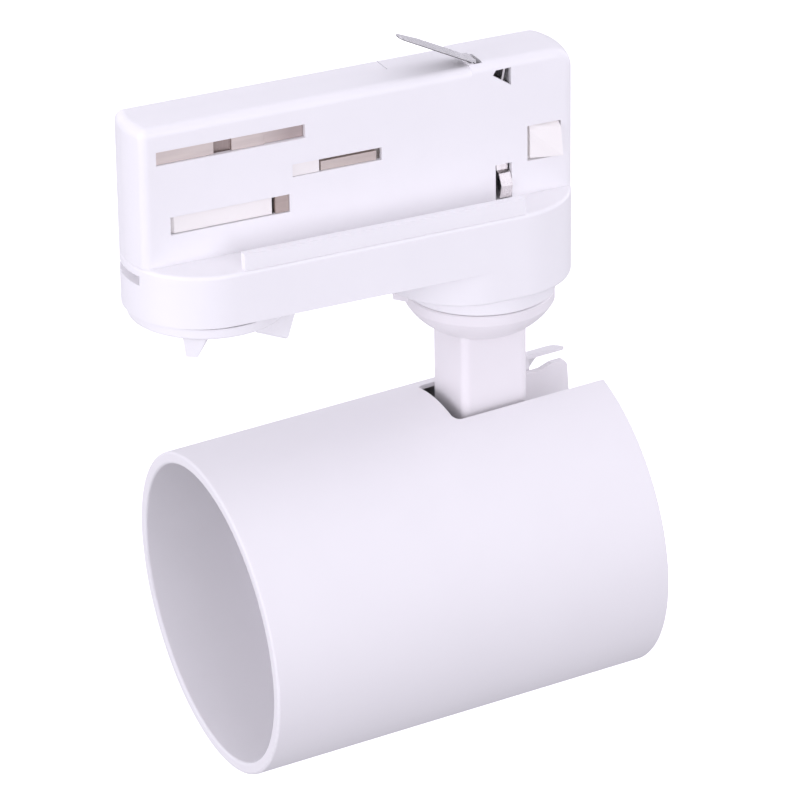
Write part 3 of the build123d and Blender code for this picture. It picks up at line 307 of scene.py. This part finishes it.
def clear_glass(name):
    material, shader = new_material(name)
    shader.inputs["Transmission Weight"].default_value = 1.0
    shader.inputs["IOR"].default_value = GLASS_IOR
    tone_noise(material, shader, GLASS_CLOUD, *GLASS_TONES)
    rough_noise(material, shader, GLASS_SHEEN, *GLASS_ROUGHNESS)
    bumps(material, shader, GLASS_BUMPS)
    return material


def darken_along(material, along, start, end, dark_tone):
    """Blend the base colour to a darker tone as the distance along a direction goes from start to
    end: a painted shadow line on the earth blade, darker towards one end on the contact strips.
    """
    nodes, links = material.node_tree.nodes, material.node_tree.links
    shader = nodes["Principled BSDF"]
    tones = shader.inputs["Base Color"].links[0].from_socket
    place = nodes.new("ShaderNodeTexCoord")
    distance = nodes.new("ShaderNodeVectorMath")
    distance.operation = "DOT_PRODUCT"
    distance.inputs[1].default_value = along
    links.new(place.outputs["Object"], distance.inputs[0])
    amount = nodes.new("ShaderNodeMapRange")
    amount.inputs["From Min"].default_value = start
    amount.inputs["From Max"].default_value = end
    links.new(distance.outputs["Value"], amount.inputs["Value"])
    mix = nodes.new("ShaderNodeMixRGB")
    links.new(amount.outputs["Result"], mix.inputs["Fac"])
    links.new(tones, mix.inputs["Color1"])
    mix.inputs["Color2"].default_value = (*dark_tone, 1)
    links.new(mix.outputs["Color"], shader.inputs["Base Color"])


# ---- Materials ----

PLASTICS = {        # name: dark tone, light tone, roughness
    "white_plastic": ((0.925, 0.915, 0.925), (0.94, 0.93, 0.94), 0.36),
    "carrier_plastic": ((0.935, 0.90, 0.87), (0.95, 0.92, 0.89), 0.42),
    # a darker, pinker copy of the white plastic: painted shade on the stem and swivel bowl
    "shaded_arm_plastic": ((0.885, 0.858, 0.870), (0.90, 0.873, 0.885), 0.38),
    "lamp_shell": ((0.86, 0.86, 0.86), (0.90, 0.90, 0.89), 0.2),
    "ceramic": ((0.82, 0.80, 0.74), (0.88, 0.86, 0.81), 0.15),
}
COATS = {           # name: dark tone, light tone, roughness
    "white_paint": ((0.87, 0.857, 0.866), (0.885, 0.872, 0.88), 0.6),
    "baffle_paint": ((0.52, 0.51, 0.54), (0.56, 0.55, 0.58), 0.65),
    # a lighter copy of the white paint: painted light on the bracket cheek seen through the tube's
    # slot
    "lit_bracket_paint": ((0.94, 0.92, 0.93), (0.95, 0.935, 0.945), 0.6),
}
METALS = {          # name: dark tone, light tone, roughness, run of the lines
    "spring_steel": ((0.84, 0.80, 0.79), (0.92, 0.89, 0.88), 0.3, ALONG_Z),
    "polished_blade": ((0.90, 0.89, 0.89), (0.95, 0.94, 0.94), 0.24, ALONG_X),
    "screw_steel": ((0.66, 0.67, 0.69), (0.76, 0.76, 0.76), 0.34, EVEN),
    "brass": ((0.72, 0.55, 0.28), (0.82, 0.66, 0.38), 0.3, ALONG_X),
    "tinned_copper": ((0.76, 0.67, 0.62), (0.83, 0.75, 0.69), 0.45, ALONG_X),
    "phase_copper": ((0.72, 0.64, 0.60), (0.79, 0.71, 0.66), 0.45, ALONG_X),
    "neutral_copper": ((0.65, 0.57, 0.53), (0.72, 0.64, 0.59), 0.5, ALONG_X),
    # dull_copper: the dark tone of the upper slot's leaf, a painted shade in that opening
    "dull_copper": ((0.38, 0.31, 0.29), (0.45, 0.38, 0.35), 0.5, ALONG_Z),
}

BLADE_SLOPE = 0.503                         # rise of the earth blade along -X
BLADE_MIDDLE = 44.19 * MM                   # z + slope * x, all along the middle of its thickness
BLADE_SHADE_LINE = (0.05 * MM, 0.12 * MM)         # the painted shadow line along the blade's lower edge, below that middle
DARKENING_RAMPS = {           # material: direction, start and end along it, the tone it goes to
    # the earth blade: a painted shadow line along its lower edge
    "polished_blade": ((-BLADE_SLOPE, 0, -1), BLADE_SHADE_LINE[0] - BLADE_MIDDLE,
                       BLADE_SHADE_LINE[1] - BLADE_MIDDLE, (0.10, 0.09, 0.09)),
    "phase_copper": ((1, 0, 0), -23 * MM, -15 * MM, (0.52, 0.44, 0.42)),
    "neutral_copper": ((1, 0, 0), -10 * MM, -13 * MM, (0.52, 0.44, 0.40)),
}

OWN_FINISHES = {    # nodes whose finish differs from the rest of their material slot
    "earth_blade": "polished_blade",
    "phase_contact_strips": "phase_copper",
    "neutral_contact_strip": "neutral_copper",
    # the stem and bowl take the darker copy of the white plastic: painted shade
    "swivel_bowl": "shaded_arm_plastic",
    "stem": "shaded_arm_plastic",
    # the bracket takes the lighter copy of the white paint: painted light
    "tilt_bracket": "lit_bracket_paint",
}


def make_materials():
    """Every material by name: the record's material slots and the nodes' own finishes."""
    materials = {"lens_glass": clear_glass("lens_glass")}
    for recipe, table in ((moulded_plastic, PLASTICS), (powder_coat, COATS), (drawn_metal, METALS)):
        for name, values in table.items():
            materials[name] = recipe(name, *values)
    for name, values in DARKENING_RAMPS.items():
        darken_along(materials[name], *values)
    return materials


def dress_cad_nodes(materials):
    """Give every CAD node its own finish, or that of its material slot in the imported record."""
    for row in frame["record"]["subparts"]:
        node, slot = row["node"], row["material_slot"]
        piece = frame["nodes"][node]
        piece.data.materials.clear()
        piece.data.materials.append(materials[OWN_FINISHES.get(node, slot)])


# ---- Detail pieces ----

LEAF_X = (-33.5 * MM, -29.2 * MM)           # the opening in the contact pocket's front
LEAF_Z = (19.5 * MM, 23.5 * MM)
LEAF_Y = -5.9 * MM
LEAF_THICKNESS = 0.3 * MM
LEAF_BOW = 0.25 * MM
LEAF_STEPS = 12


def slot_shade_leaf(metal):
    """A bowed dark leaf across the opening behind the upper slot: a sheet whose tone paints the
    shade seen in that opening.
    """
    section = ((0, LEAF_Z[0]), (0, LEAF_Z[1]),
               (LEAF_THICKNESS, LEAF_Z[1]), (LEAF_THICKNESS, LEAF_Z[0]))
    mesh = bmesh.new()
    rows = []
    for step in range(LEAF_STEPS + 1):
        share = step / LEAF_STEPS
        x = LEAF_X[0] + share * (LEAF_X[1] - LEAF_X[0])
        y = LEAF_Y + LEAF_BOW * (1 - (2 * share - 1) ** 2)
        rows.append([mesh.verts.new((x, y + depth, z)) for depth, z in section])
    for near, far in zip(rows, rows[1:]):
        for index in range(len(section)):
            following = (index + 1) % len(section)
            mesh.faces.new((near[index], near[following], far[following], far[index]))
    mesh.faces.new(list(reversed(rows[0])))
    mesh.faces.new(rows[-1])
    bmesh.ops.recalc_face_normals(mesh, faces=mesh.faces)
    data = bpy.data.meshes.new("upper_slot_shade_leaf")
    mesh.to_mesh(data)
    mesh.free()
    leaf = bpy.data.objects.new("upper_slot_shade_leaf", data)
    bpy.context.scene.collection.objects.link(leaf)
    data.materials.append(metal)
    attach(leaf, "adapter")


make_camera()
make_lights()
make_floor()
MATERIALS = make_materials()
slot_shade_leaf(MATERIALS["dull_copper"])
dress_cad_nodes(MATERIALS)
